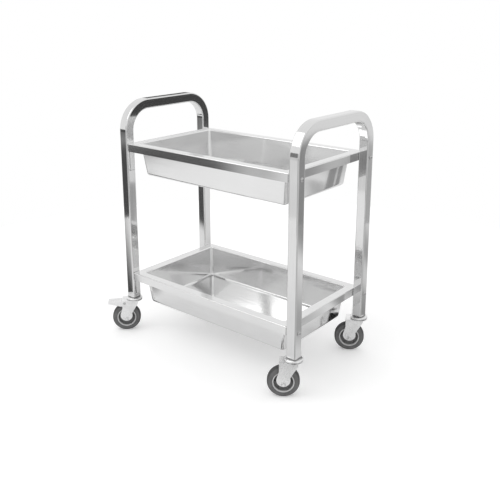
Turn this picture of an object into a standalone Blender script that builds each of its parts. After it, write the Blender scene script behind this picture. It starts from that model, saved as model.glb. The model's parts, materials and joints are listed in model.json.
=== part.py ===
"""Instrument cart: two trays bolted between two bent-tube end frames, on four swivel casters.

Metres, +Z up, floor at z = 0, the cart's long side along X and its front on -Y. The origin is under
the middle of the whole cart as it stands, casters and pedals counted.
Run with: blender --background --python part.py
"""

import math

import bmesh
import bpy
from mathutils import Vector

# ---- driving dimensions -------------------------------------------------------------------------

MM = 0.001
GAP = 0.3 * MM                   # clearance kept where two pieces meet

CART_LENGTH = 700 * MM           # over the outer faces of the two end frames
CART_WIDTH = 386 * MM            # over the outer faces of the legs
HANDLE_TOP = 784 * MM
LEG_FOOT = 122 * MM              # where the leg tubes end above the floor

TUBE = 32 * MM                   # square tube, outside
TUBE_WALL = 1.5 * MM
TUBE_CORNER = 4 * MM
BEND_RADIUS = 82 * MM            # centre line of the handle's bends

UPPER_RIM = 651 * MM             # top of the upper tray's rim
LOWER_RIM = 212 * MM
TRAY_SIDE_GAP = 2 * MM           # tray edge set back from the legs' outer faces
SHEET = 1.2 * MM
RIM_WIDTH = 29 * MM
FLANGE_HEIGHT = 26 * MM
TRAY_DEPTH = 104 * MM
WALL_TAPER = 10 * MM             # how far the wall leans in from mouth to floor
RIM_BEND = 3 * MM
MOUTH_BEND = 4 * MM
FLOOR_BEND = 8 * MM
EDGE_CORNER = 5 * MM             # the tray's corners seen from above: outer edge, mouth, foot of the wall
MOUTH_CORNER = 8 * MM
FLOOR_CORNER = 12 * MM

TRAY_BOLT_DROP = 15 * MM         # bolt axis below the rim
BOLT_HOLE = 3.4 * MM             # radii of the M6 tray bolts and their holes
BOLT_SHANK = 3.0 * MM
BOLT_HEAD = 6.5 * MM
BOLT_HEAD_HEIGHT = 4.0 * MM
BOLT_HEAD_EDGE = 1.2 * MM        # height of the head's upright rim, under its dome
BOLT_SHOULDER = 3.2 * MM
BOLT_END = 5 * MM                # how far a bolt stands out of its nut
NUT_ACROSS = 10.0 * MM
NUT_HEIGHT = 5.0 * MM

WHEEL_RADIUS = 47 * MM
WHEEL_SEGMENTS = 28
TYRE_WIDTH = 28 * MM
TYRE_BORE = 33 * MM
TYRE_SHOULDER = 6 * MM           # how far in the tread's rounding reaches on each side
TREAD_HALF = 5 * MM
HUB_BOSS = 11 * MM
HUB_WEB_HALF = 4 * MM
HUB_RIM = 5.7 * MM               # thickness of the wheel centre's rim
CASTER_TRAIL = 28 * MM           # wheel centre behind the swivel axis
FORK_INSIDE = 38 * MM            # between the fork's side plates
FORK_PLATE = 2.5 * MM
FORK_TOP = 111 * MM
FORK_FRONT = 13 * MM             # the side plates' reach ahead of and behind the swivel axis
FORK_REAR = 41 * MM
FORK_SKIRT = 9 * MM              # height of a side plate's short front edge, and of its rear edge
FORK_STRAIGHT = 27 * MM
FORK_FOOT = 20 * MM              # radius of a side plate's rounded foot, and its middle's height
FORK_FOOT_HEIGHT = 58 * MM
CROWN_RADIUS = 26.5 * MM
CUP_RADIUS = 27 * MM
CUP_WALL = 2.5 * MM
CUP_SHOULDER = 3 * MM
BALL_RING_INNER = 14 * MM
BALL_RING_OUTER = 24 * MM
BALL_RING_BEVEL = 2 * MM
AXLE_RADIUS = 4.0 * MM
AXLE_HOLE = 4.3 * MM
AXLE_HEAD = 8 * MM
AXLE_HEAD_HEIGHT = 5 * MM
AXLE_END = 8 * MM                # how far the axle's plain end stands out of the fork
AXLE_NUT_ACROSS = 13 * MM
AXLE_NUT_HEIGHT = 6 * MM
CUP_CEILING = LEG_FOOT - 6.3 * MM  # underside of the swivel cup, over the balls
STEM_RADIUS = 6.0 * MM
STEM_HOLE = 6.3 * MM
STEM_BOTTOM = 99 * MM
STEM_CAP = 3 * MM                # the stem's square cap, under the leg's end
STEM_INSERT = 28 * MM            # how far its square reaches up into the leg
STEM_NUT_ACROSS = 17 * MM
STEM_NUT_HEIGHT = 5 * MM

PEDAL_PIN_BACK = 33 * MM         # the pin's place behind the swivel axis and above the floor
PEDAL_PIN_HEIGHT = 101.5 * MM
PEDAL_PIN_RADIUS = 2.5 * MM
PEDAL_PIN_HOLE = 2.8 * MM
PEDAL_PIN_HEAD = 4.5 * MM
PEDAL_PIN_HEAD_HEIGHT = 1.5 * MM
PEDAL_TIP_BACK = 88 * MM
PEDAL_WIDTH = 36.6 * MM
PEDAL_SHEET = 2 * MM
PEDAL_NOSE = 4.6 * MM            # radius round the pin that clears the crown as it tips
PEDAL_TOP = 4.2 * MM             # height of the tread above the pin
PEDAL_SLOPE = 18 * MM            # the last of the tread, which falls by a little
PEDAL_FALL = 1 * MM
PEDAL_TIP_DEPTH = 5 * MM
PEDAL_CHEEK_BACK = 14 * MM       # the lowest points of its cheeks, behind and below the pin
PEDAL_CHEEK_FRONT = 5 * MM
PEDAL_CHEEK_DROP = 12 * MM

# Each caster's leg (sign of X and Y), its swivel angle at rest, and whether it has a brake.
CASTERS = {
    "front_left": (-1, -1, 226, True),
    "front_right": (1, -1, 217, False),
    "rear_right": (1, 1, 212, False),
    "rear_left": (-1, 1, 232, True),
}

# The casters trail to the front and left, so the cart's box is off the frame's middle by this much.
REST_BOX_CENTRE = Vector((-24 * MM, -24 * MM, 0))

LEG_X = CART_LENGTH / 2 - TUBE / 2
LEG_Y = CART_WIDTH / 2 - TUBE / 2
TRAY_HALF_X = CART_LENGTH / 2 - TUBE - GAP
TRAY_HALF_Y = CART_WIDTH / 2 - TRAY_SIDE_GAP

# Material look: colour, roughness, metallic.
FINISHES = {
    "stainless_tube": ((0.80, 0.80, 0.80, 1), 0.28, 1.0),
    "stainless_sheet": ((0.78, 0.78, 0.78, 1), 0.32, 1.0),
    "fasteners": ((0.70, 0.70, 0.71, 1), 0.35, 1.0),
    "zinc_plate": ((0.85, 0.86, 0.87, 1), 0.30, 1.0),
    "steel": ((0.55, 0.56, 0.58, 1), 0.40, 1.0),
    "grey_rubber": ((0.16, 0.16, 0.165, 1), 0.75, 0.0),
    "wheel_centre": ((0.50, 0.50, 0.50, 1), 0.50, 0.0),
}


# ---- helpers ------------------------------------------------------------------------------------

def clear_scene():
    for item in list(bpy.data.objects):
        bpy.data.objects.remove(item, do_unlink=True)


def finish_material(name):
    """The named Principled material, made once and shared."""
    material = bpy.data.materials.get(name)
    if material is None:
        colour, roughness, metallic = FINISHES[name]
        material = bpy.data.materials.new(name)
        material.use_nodes = True
        shader = material.node_tree.nodes["Principled BSDF"]
        shader.inputs["Base Color"].default_value = colour
        shader.inputs["Roughness"].default_value = roughness
        shader.inputs["Metallic"].default_value = metallic
    return material


def add_object(name, mesh_builder, finish, parent=None, location=(0, 0, 0), rotation=(0, 0, 0)):
    """Link a bmesh as a named object with its finish."""
    bmesh.ops.recalc_face_normals(mesh_builder, faces=mesh_builder.faces)
    mesh = bpy.data.meshes.new(name)
    mesh_builder.to_mesh(mesh)
    mesh_builder.free()
    mesh.shade_smooth()
    mesh.set_sharp_from_angle(angle=math.radians(35))
    thing = bpy.data.objects.new(name, mesh)
    bpy.context.scene.collection.objects.link(thing)
    mesh.materials.append(finish_material(finish))
    thing.parent = parent
    thing.location = location
    thing.rotation_euler = rotation
    return thing


def rounded_rectangle(half_x, half_y, radius, steps):
    """Corner points of a rounded rectangle, anticlockwise, steps + 1 to each corner."""
    points = []
    for quarter, (sign_x, sign_y) in enumerate([(1, 1), (-1, 1), (-1, -1), (1, -1)]):
        centre = (sign_x * (half_x - radius), sign_y * (half_y - radius))
        for step in range(steps + 1):
            angle = math.radians(90 * (quarter + step / steps))
            points.append((centre[0] + radius * math.cos(angle), centre[1] + radius * math.sin(angle)))
    return points


def circle_points(radius, count, start=0.0):
    turn = 2 * math.pi / count
    return [(radius * math.cos(start + turn * i), radius * math.sin(start + turn * i)) for i in range(count)]


def bridge(mesh, ring_a, ring_b):
    """Quads between two rings of equal length."""
    count = len(ring_a)
    for i in range(count):
        j = (i + 1) % count
        mesh.faces.new((ring_a[i], ring_a[j], ring_b[j], ring_b[i]))


def loft(rings, closed=False):
    """A closed solid through rings of 3-D points: capped at both ends, or joined end to end."""
    mesh = bmesh.new()
    verts = [[mesh.verts.new(point) for point in ring] for ring in rings]
    for ring_a, ring_b in zip(verts, verts[1:]):
        bridge(mesh, ring_a, ring_b)
    if closed:
        bridge(mesh, verts[-1], verts[0])
    else:
        mesh.faces.new(verts[0])
        mesh.faces.new(list(reversed(verts[-1])))
    return mesh


def turned(profile, segments, hollow):
    """A lathe-turned solid about Z from (radius, height) points: hollow is closed round a bore.

    The facets are half a step round, so that one of them lies square to each axis.
    """
    half_step = math.pi / segments
    rings = [[(x, y, z) for x, y in circle_points(r, segments, half_step)] for r, z in profile]
    return loft(rings, closed=hollow)


def hexagon_ring(across_flats, height):
    radius = across_flats / math.sqrt(3)
    return [(x, y, height) for x, y in circle_points(radius, 6)]


def arc(centre, radius, start, end, steps):
    """Points of a flat arc, angles in degrees."""
    points = []
    for step in range(steps + 1):
        angle = math.radians(start + (end - start) * step / steps)
        points.append((centre[0] + radius * math.cos(angle), centre[1] + radius * math.sin(angle)))
    return points


def cylinder_cutter(radius, start, end, segments=16):
    """A closed cylinder between two points, for a Boolean."""
    start, end = Vector(start), Vector(end)
    turn = (end - start).to_track_quat("Z", "Y").to_matrix()
    length = (end - start).length
    rings = []
    for height in (0, length):
        rings.append([start + turn @ Vector((x, y, height)) for x, y in circle_points(radius, segments)])
    return loft(rings)


def box_cutter(low, high):
    """A closed box between two corners, for a Boolean."""
    corners = [(low[0], low[1]), (high[0], low[1]), (high[0], high[1]), (low[0], high[1])]
    return loft([[(x, y, z) for x, y in corners] for z in (low[2], high[2])])


def merge(meshes):
    """One bmesh holding several separate closed bodies."""
    combined = bmesh.new()
    for mesh in meshes:
        bmesh.ops.recalc_face_normals(mesh, faces=mesh.faces)
        holder = bpy.data.meshes.new("holder")
        mesh.to_mesh(holder)
        mesh.free()
        combined.from_mesh(holder)
        bpy.data.meshes.remove(holder)
    return combined


def combine(mesh, others, operation):
    """The mesh cut by the others or joined with them, through an exact Boolean."""
    target = add_object("target", mesh, "steel")
    tool = add_object("tool", merge(others), "steel")
    boolean = target.modifiers.new("combine", "BOOLEAN")
    boolean.operation = operation
    boolean.object = tool
    evaluated = target.evaluated_get(bpy.context.evaluated_depsgraph_get())
    result = bmesh.new()
    result.from_mesh(evaluated.to_mesh())
    evaluated.to_mesh_clear()
    for item in (target, tool):
        mesh_data = item.data
        bpy.data.objects.remove(item, do_unlink=True)
        bpy.data.meshes.remove(mesh_data)
    return result


def cut(mesh, cutters):
    return combine(mesh, cutters, "DIFFERENCE")


# ---- end frames ---------------------------------------------------------------------------------

def frame_stations():
    """(position, direction across the tube) along one upside-down U in the YZ plane."""
    bend_y = LEG_Y - BEND_RADIUS
    bend_z = HANDLE_TOP - TUBE / 2 - BEND_RADIUS
    bend_steps = 7
    stations = [(Vector((0, LEG_Y, LEG_FOOT)), Vector((0, 1, 0)))]
    for side in (1, -1):
        for step in range(bend_steps + 1):
            angle = math.radians(90 * step / bend_steps)
            if side < 0:
                angle = math.radians(90) - angle
            outward = Vector((0, side * math.cos(angle), math.sin(angle)))
            centre = Vector((0, side * bend_y, bend_z))
            stations.append((centre + outward * BEND_RADIUS, outward))
    stations.append((Vector((0, -LEG_Y, LEG_FOOT)), Vector((0, -1, 0))))
    return stations


def tube_skin(size, corner):
    """Rings of the swept square tube, along the stations."""
    section = rounded_rectangle(size / 2, size / 2, corner, 2)
    return [[position + outward * a + Vector((b, 0, 0)) for a, b in section]
            for position, outward in frame_stations()]


def end_frame(name, side):
    """One bent tube: outer and inner skins joined at the two feet, with its bolt holes."""
    outer = tube_skin(TUBE, TUBE_CORNER)
    inner = tube_skin(TUBE - 2 * TUBE_WALL, TUBE_CORNER - TUBE_WALL)
    tube = loft(outer + inner[::-1], closed=True)
    reach = TUBE
    holes = [cylinder_cutter(BOLT_HOLE, (-reach, y, z), (reach, y, z), 12)
             for y in (-LEG_Y, LEG_Y) for z in bolt_heights()]
    add_object(name, cut(tube, holes), "stainless_tube", location=(side * LEG_X, 0, 0))


def bolt_heights():
    return [UPPER_RIM - TRAY_BOLT_DROP, LOWER_RIM - TRAY_BOLT_DROP]


# ---- trays --------------------------------------------------------------------------------------

def tray_profile():
    """(inset from the tray's edge, height below the rim, corner radius) from the flange to the floor."""
    profile = [(0, -FLANGE_HEIGHT, EDGE_CORNER)]
    for a, b in arc((RIM_BEND, -RIM_BEND), RIM_BEND, 180, 90, 3):
        profile.append((a, b, EDGE_CORNER))
    for a, b in arc((RIM_WIDTH - MOUTH_BEND, -MOUTH_BEND), MOUTH_BEND, 90, 0, 3):
        profile.append((a, b, MOUTH_CORNER))
    return profile + floor_bend(FLOOR_BEND, FLOOR_CORNER)


def tray_underside():
    """The same profile one sheet thickness inside the metal, from the floor back to the flange."""
    under = [(SHEET, -FLANGE_HEIGHT, EDGE_CORNER - SHEET)]
    for a, b in arc((RIM_BEND, -RIM_BEND), RIM_BEND - SHEET, 180, 90, 2):
        under.append((a, b, EDGE_CORNER - SHEET))
    for a, b in arc((RIM_WIDTH - MOUTH_BEND, -MOUTH_BEND), MOUTH_BEND - SHEET, 90, 0, 2):
        under.append((a, b, MOUTH_CORNER + SHEET))
    return (under + floor_bend(FLOOR_BEND + SHEET, FLOOR_CORNER + SHEET))[::-1]


def floor_bend(radius, corner):
    """The bend from the wall's foot to the floor, its corners tightening as it goes in."""
    inset = RIM_WIDTH + WALL_TAPER
    middle = (inset + FLOOR_BEND, -TRAY_DEPTH + FLOOR_BEND)
    return [(a, b, corner - (a - inset)) for a, b in arc(middle, radius, 180, 270, 4)]


def tray(name, rim_height):
    """A pressed tray: rim, turned-down flange and tapered basin in one sheet."""
    rings = []
    for inset, drop, corner in tray_profile()[::-1] + tray_underside()[::-1]:
        outline = rounded_rectangle(TRAY_HALF_X - inset, TRAY_HALF_Y - inset, corner, 3)
        rings.append([(x, y, drop) for x, y in outline])
    sheet = loft(rings)
    reach = TRAY_HALF_X + TUBE
    holes = []
    for side in (-1, 1):
        for y in (-LEG_Y, LEG_Y):
            near = (side * (TRAY_HALF_X - RIM_WIDTH / 2), y, -TRAY_BOLT_DROP)
            holes.append(cylinder_cutter(BOLT_HOLE, near, (side * reach, y, -TRAY_BOLT_DROP), 12))
    add_object(name, cut(sheet, holes), "stainless_sheet", location=(0, 0, rim_height))


# ---- tray bolts ---------------------------------------------------------------------------------

def bolt_mesh():
    """A dome-head bolt along +Z, the head's seat at z = 0 and the shank below it."""
    length = TUBE + GAP + SHEET + NUT_HEIGHT + BOLT_END
    profile = [(BOLT_SHANK, -length), (BOLT_SHANK, 0)]
    profile += [(BOLT_HEAD, 0), (BOLT_HEAD, BOLT_HEAD_EDGE), (BOLT_HEAD * 0.72, BOLT_SHOULDER)]
    profile += [(BOLT_HEAD * 0.3, BOLT_HEAD_HEIGHT)]
    return turned(profile, 12, hollow=False)


def nut_mesh(across_flats, height, shank):
    """A hexagon nut with a plain hexagonal bore round its shank, its lower face at z = 0."""
    bore = (shank + GAP) * 2
    outer = [hexagon_ring(across_flats, h) for h in (0, height)]
    inner = [hexagon_ring(bore, h) for h in (height, 0)]
    return loft(outer + inner, closed=True)


def tray_fasteners():
    """A bolt through each leg at each tray, its head outside and its nut inside the flange."""
    for level, height in zip(("upper", "lower"), bolt_heights()):
        for corner, (side_x, side_y, _, _) in CASTERS.items():
            outward = math.radians(90) * side_x
            seat = side_x * (CART_LENGTH / 2 + GAP)
            add_object(f"bolt_{level}_{corner}", bolt_mesh(), "fasteners",
                       location=(seat, side_y * LEG_Y, height), rotation=(0, outward, 0))
            inside = side_x * (TRAY_HALF_X - SHEET - GAP - NUT_HEIGHT)
            nut = nut_mesh(NUT_ACROSS, NUT_HEIGHT, BOLT_SHANK)
            add_object(f"nut_{level}_{corner}", nut, "fasteners",
                       location=(inside, side_y * LEG_Y, height), rotation=(0, outward, 0))


# ---- casters ------------------------------------------------------------------------------------

def stem_mesh():
    """The square tube insert, its cap under the tube's end, and the round stem below it."""
    insert = TUBE - 2 * TUBE_WALL - 2 * GAP
    insert_corner = TUBE_CORNER - TUBE_WALL
    cap_top = LEG_FOOT - GAP
    cap_bottom = LEG_FOOT - STEM_CAP
    insert_top = LEG_FOOT + STEM_INSERT
    square = rounded_rectangle(insert / 2, insert / 2, insert_corner, 3)
    cap = rounded_rectangle(TUBE / 2, TUBE / 2, TUBE_CORNER, 3)
    rings = [[(x, y, insert_top) for x, y in square], [(x, y, cap_top) for x, y in square]]
    rings += [[(x, y, h) for x, y in cap] for h in (cap_top, cap_bottom)]
    # Half a step round, the stem's points face those of the square's corners and nothing twists.
    for height in (cap_bottom, STEM_BOTTOM):
        rings.append([(x, y, height) for x, y in circle_points(STEM_RADIUS, len(cap), math.pi / len(cap))])
    return loft(rings)


def swivel_cup_mesh():
    """The fixed upper race: an upturned cup over the balls."""
    top = LEG_FOOT - STEM_CAP - GAP
    rim = FORK_TOP + 1 * MM
    inside = CUP_RADIUS - CUP_WALL
    profile = [(STEM_HOLE, top), (CUP_RADIUS - CUP_SHOULDER, top), (CUP_RADIUS, top - CUP_SHOULDER)]
    profile += [(CUP_RADIUS, rim), (inside, rim), (inside, CUP_CEILING), (STEM_HOLE, CUP_CEILING)]
    return turned(profile, 18, hollow=True)


def ball_ring_mesh():
    """The ring of balls between the cup and the fork's crown, as one closed ring."""
    low = FORK_TOP + GAP
    high = CUP_CEILING - GAP
    middle = (low + high) / 2
    inner, outer = BALL_RING_INNER, BALL_RING_OUTER
    profile = [(inner, middle), (inner + BALL_RING_BEVEL, low), (outer - BALL_RING_BEVEL, low)]
    profile += [(outer, middle), (outer - BALL_RING_BEVEL, high), (inner + BALL_RING_BEVEL, high)]
    return turned(profile, 18, hollow=True)


def fork_side_outline():
    """The side plate's outline: x runs back from the swivel axis, towards the wheel."""
    outline = [(-FORK_FRONT, FORK_TOP), (-FORK_FRONT, FORK_TOP - FORK_SKIRT)]
    outline += arc((CASTER_TRAIL, FORK_FOOT_HEIGHT), FORK_FOOT, 160, 380, 9)
    outline += [(FORK_REAR, FORK_TOP - FORK_STRAIGHT), (FORK_REAR, FORK_TOP)]
    return outline


def fork_mesh(braked):
    """A pressed fork: a round-fronted crown and two side plates, with stem, axle and pin holes."""
    half = FORK_INSIDE / 2 + FORK_PLATE
    body = loft([[(x, y, z) for x, z in fork_side_outline()] for y in (-half, half)])
    inside = FORK_INSIDE / 2
    crown = FORK_TOP - FORK_PLATE
    body = cut(body, [box_cutter((-FORK_FRONT - TUBE, -inside, 0), (FORK_REAR + TUBE, inside, crown))])
    body = combine(body, [cylinder_cutter(CROWN_RADIUS, (0, 0, crown), (0, 0, FORK_TOP), 24)], "UNION")
    holes = [cylinder_cutter(STEM_HOLE, (0, 0, crown - TUBE), (0, 0, crown + TUBE)),
             across_cutter(AXLE_HOLE, CASTER_TRAIL, WHEEL_RADIUS)]
    if braked:
        holes.append(across_cutter(PEDAL_PIN_HOLE, PEDAL_PIN_BACK, PEDAL_PIN_HEIGHT))
    return cut(body, holes)


def across_cutter(radius, back, height):
    """A round cutter through both side plates."""
    return cylinder_cutter(radius, (back, -TUBE, height), (back, TUBE, height), 12)


def tyre_mesh():
    """A rounded tyre about Z, centred on its own axle, its facets' middles on the rolling radius."""
    half = TYRE_WIDTH / 2
    rolling = WHEEL_RADIUS / math.cos(math.pi / WHEEL_SEGMENTS)
    profile = [(TYRE_BORE, half - 2 * MM), (TYRE_BORE + 3 * MM, half)]
    profile += [(rolling - TYRE_SHOULDER, half - 1.5 * MM), (rolling, TREAD_HALF)]
    mirrored = [(r, -z) for r, z in reversed(profile)]
    return turned(profile + mirrored, WHEEL_SEGMENTS, hollow=True)


def hub_mesh():
    """The wheel centre: rim, web and a long boss with the axle's bore."""
    rim = TYRE_BORE - GAP
    rim_half = TYRE_WIDTH / 2 - 3 * MM
    boss_half = FORK_INSIDE / 2 - 2 * GAP
    draft = 1 * MM                     # how far the web's foot stands off the boss and the rim
    profile = [(AXLE_HOLE, boss_half), (HUB_BOSS, boss_half), (HUB_BOSS + draft, HUB_WEB_HALF)]
    profile += [(rim - HUB_RIM, HUB_WEB_HALF), (rim - HUB_RIM + draft, rim_half), (rim, rim_half)]
    mirrored = [(r, -z) for r, z in reversed(profile)]
    return turned(profile + mirrored, WHEEL_SEGMENTS, hollow=True)


def axle_mesh():
    """The axle bolt about Z, its head beyond one side plate and its end beyond the other."""
    seat = FORK_INSIDE / 2 + FORK_PLATE + GAP
    profile = [(AXLE_RADIUS, -seat - AXLE_END), (AXLE_RADIUS, seat), (AXLE_HEAD, seat)]
    profile += [(AXLE_HEAD, seat + AXLE_HEAD_HEIGHT * 0.4), (AXLE_HEAD * 0.7, seat + AXLE_HEAD_HEIGHT)]
    return turned(profile, 12, hollow=False)


def pedal_mesh():
    """The brake pedal about its own pin: a folded channel whose tread reaches back past the wheel."""
    half = PEDAL_WIDTH / 2
    tip = PEDAL_TIP_BACK - PEDAL_PIN_BACK
    fallen = PEDAL_TOP - PEDAL_FALL
    outline = arc((0, 0), PEDAL_NOSE, 270, 110, 5)
    outline += [(0, PEDAL_TOP), (tip - PEDAL_SLOPE, PEDAL_TOP), (tip, fallen), (tip, fallen - PEDAL_TIP_DEPTH)]
    outline += [(PEDAL_CHEEK_BACK, -PEDAL_CHEEK_DROP), (PEDAL_CHEEK_FRONT, -PEDAL_CHEEK_DROP)]
    body = loft([[(x, y, z) for x, z in outline] for y in (-half, half)])
    inside = half - PEDAL_SHEET
    hollow = box_cutter((-TUBE, -inside, -TUBE), (tip - PEDAL_SHEET, inside, PEDAL_TOP - PEDAL_SHEET))
    hole = cylinder_cutter(PEDAL_PIN_HOLE, (0, -TUBE, 0), (0, TUBE, 0), 12)
    return cut(cut(body, [hollow]), [hole])


def pin_mesh():
    """The pedal's pin about Z, with a low head at each end."""
    seat = FORK_INSIDE / 2 + FORK_PLATE + GAP
    head_end = seat + PEDAL_PIN_HEAD_HEIGHT
    profile = [(PEDAL_PIN_HEAD, -head_end), (PEDAL_PIN_HEAD, -seat), (PEDAL_PIN_RADIUS, -seat)]
    profile += [(PEDAL_PIN_RADIUS, seat), (PEDAL_PIN_HEAD, seat), (PEDAL_PIN_HEAD, head_end)]
    return turned(profile, 12, hollow=False)


def caster(corner, side_x, side_y, angle, braked):
    """One caster: what is fixed to the leg, what swivels, and what rolls."""
    swivel = bpy.data.objects.new(f"swivel_axis_{corner}", None)
    bpy.context.scene.collection.objects.link(swivel)
    swivel.location = (side_x * LEG_X, side_y * LEG_Y, 0)
    swivel.rotation_euler = (0, 0, math.radians(angle))
    leg = (side_x * LEG_X, side_y * LEG_Y, 0)
    across = (math.radians(90), 0, 0)
    axle = (CASTER_TRAIL, 0, WHEEL_RADIUS)
    side_seat = FORK_INSIDE / 2 + FORK_PLATE + GAP

    add_object(f"stem_{corner}", stem_mesh(), "steel", location=leg)
    add_object(f"swivel_cup_{corner}", swivel_cup_mesh(), "zinc_plate", location=leg)
    stem_nut = nut_mesh(STEM_NUT_ACROSS, STEM_NUT_HEIGHT, STEM_RADIUS)
    under_crown = FORK_TOP - FORK_PLATE - GAP
    add_object(f"stem_nut_{corner}", stem_nut, "fasteners",
               location=(leg[0], leg[1], under_crown - STEM_NUT_HEIGHT))

    add_object(f"ball_ring_{corner}", ball_ring_mesh(), "steel", parent=swivel)
    add_object(f"fork_{corner}", fork_mesh(braked), "zinc_plate", parent=swivel)
    add_object(f"axle_{corner}", axle_mesh(), "fasteners", parent=swivel, location=axle, rotation=across)
    axle_nut = nut_mesh(AXLE_NUT_ACROSS, AXLE_NUT_HEIGHT, AXLE_RADIUS)
    nut_place = (CASTER_TRAIL, side_seat + AXLE_NUT_HEIGHT, WHEEL_RADIUS)
    add_object(f"axle_nut_{corner}", axle_nut, "fasteners", parent=swivel, location=nut_place,
               rotation=across)
    add_object(f"tyre_{corner}", tyre_mesh(), "grey_rubber", parent=swivel, location=axle, rotation=across)
    add_object(f"wheel_{corner}", hub_mesh(), "wheel_centre", parent=swivel, location=axle, rotation=across)

    if braked:
        pin = (PEDAL_PIN_BACK, 0, PEDAL_PIN_HEIGHT)
        add_object(f"pedal_{corner}", pedal_mesh(), "zinc_plate", parent=swivel, location=pin)
        add_object(f"pedal_pin_{corner}", pin_mesh(), "fasteners",
                   parent=swivel, location=pin, rotation=across)


# ---- the cart -----------------------------------------------------------------------------------

def centre_the_box():
    """Bring the middle of the cart's own box over the origin, as it stands."""
    for thing in bpy.data.objects:
        if thing.parent is None:
            thing.location -= REST_BOX_CENTRE


def main():
    clear_scene()
    end_frame("end_frame_left", -1)
    end_frame("end_frame_right", 1)
    tray("upper_tray", UPPER_RIM)
    tray("lower_tray", LOWER_RIM)
    tray_fasteners()
    for corner, (side_x, side_y, angle, braked) in CASTERS.items():
        caster(corner, side_x, side_y, angle, braked)
    centre_the_box()


main()
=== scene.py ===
import json
import math

import bpy
from mathutils import Matrix, Vector


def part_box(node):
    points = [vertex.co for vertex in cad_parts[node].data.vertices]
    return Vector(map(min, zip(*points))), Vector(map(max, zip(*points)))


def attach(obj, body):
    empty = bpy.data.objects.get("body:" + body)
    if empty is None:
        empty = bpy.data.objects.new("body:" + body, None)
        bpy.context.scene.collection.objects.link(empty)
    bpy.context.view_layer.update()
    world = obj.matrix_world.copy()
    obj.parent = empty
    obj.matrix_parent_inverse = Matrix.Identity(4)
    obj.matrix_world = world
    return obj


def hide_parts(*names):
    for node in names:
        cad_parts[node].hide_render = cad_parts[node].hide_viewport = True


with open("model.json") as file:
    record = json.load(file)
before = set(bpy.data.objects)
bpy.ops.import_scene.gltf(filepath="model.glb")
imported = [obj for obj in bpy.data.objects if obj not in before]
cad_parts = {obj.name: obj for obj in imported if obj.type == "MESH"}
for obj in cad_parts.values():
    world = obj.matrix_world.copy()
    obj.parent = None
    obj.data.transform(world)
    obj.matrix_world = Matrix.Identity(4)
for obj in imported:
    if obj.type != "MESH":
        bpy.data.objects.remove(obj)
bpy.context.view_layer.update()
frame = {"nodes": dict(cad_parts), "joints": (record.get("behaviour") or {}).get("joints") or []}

MM = 0.001

# ---- the frame's own sizes ----------------------------------------------------------------------

LEFT_LOW, LEFT_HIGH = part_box("end_frame_left")
RIGHT_LOW, RIGHT_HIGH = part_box("end_frame_right")
TRAY_LOW, TRAY_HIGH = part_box("upper_tray")

CART_X = (LEFT_LOW.x + RIGHT_HIGH.x) / 2     # the middle of the frame on the floor
CART_Y = (LEFT_LOW.y + LEFT_HIGH.y) / 2
TUBE = LEFT_HIGH.x - LEFT_LOW.x
LEG_FOOT = LEFT_LOW.z
HANDLE_TOP = LEFT_HIGH.z
LEG_SPREAD = (LEFT_HIGH.y - LEFT_LOW.y - TUBE) / 2

# ---- sizes that repeat the part's own -----------------------------------------------------------

TUBE_CORNER = 4 * MM
TUBE_CORNER_STEPS = 5
BEND_RADIUS = 82 * MM
BEND_STEPS = 20
BEND_Z = HANDLE_TOP - TUBE / 2 - BEND_RADIUS
BEND_Y = LEG_SPREAD - BEND_RADIUS

SHEET = 1.2 * MM
RIM_WIDTH = 29 * MM
FLANGE_HEIGHT = 26 * MM
TRAY_DEPTH = 104 * MM
WALL_TAPER = 10 * MM
MOUTH_CORNER = 8 * MM
FLOOR_CORNER = 12 * MM
RIM_CORNER = 5 * MM
FLOOR_BEND = 8 * MM
MOUTH_BEND = 4 * MM
RIM_BEND = 3 * MM
RIM_FALL = 0.2 * MM             # the rim falls a little outwards
OUTLINE_STEPS = 7               # to each rounded corner of a tray

BOLT_HEAD = 6.5 * MM
BOLT_HEAD_HEIGHT = 4.0 * MM
BOLT_SHANK = 3.0 * MM
BOLT_SOCKET = 2.3 * MM

WHEEL_RADIUS = 47 * MM
TYRE_WIDTH = 28 * MM
TYRE_BORE = 32 * MM
CASTER_TRAIL = 28 * MM
FORK_TOP = 111 * MM
FORK_INSIDE = 38 * MM
FORK_PLATE = 2.5 * MM
FORK_HALF = FORK_INSIDE / 2 + FORK_PLATE
FORK_FRONT = 13 * MM
FORK_REAR = 41 * MM
FORK_SKIRT = 9 * MM
FORK_STRAIGHT = 27 * MM
FORK_FOOT = 20 * MM
FORK_FOOT_HEIGHT = 58 * MM
CROWN_RADIUS = 26.5 * MM
CREASE_BACK = 19 * MM           # the crease pressed into each side plate
CREASE_HEIGHT = 86 * MM
CREASE_SIZE = (1.4 * MM, 1.2 * MM, 42 * MM)
FOOT_RING = 13 * MM             # the ring pressed round the axle's place
FOOT_RING_DEPTH = 0.6 * MM
FOOT_RING_HEIGHT = FORK_FOOT_HEIGHT - 4 * MM

AXLE = 4 * MM
AXLE_HOLE = 4.3 * MM
AXLE_WASHER = 8 * MM
AXLE_HEAD = 7.2 * MM
AXLE_END = 8 * MM
AXLE_NUT = 7.4 * MM
AXLE_NUT_COLLAR = 5.9 * MM      # both its radius and its height
HUB_BOSS = 11 * MM
HUB_WEB_HALF = 4 * MM
HUB_RING = 3.4 * MM
RIB_WIDTH = 2.2 * MM
RIB_DEPTH = 17 * MM
BEAD = 3.2 * MM                 # the raised ring round the tyre's bore
TYRE_SHOULDER = 8 * MM
TREAD_HALF = 2.6 * MM

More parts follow.
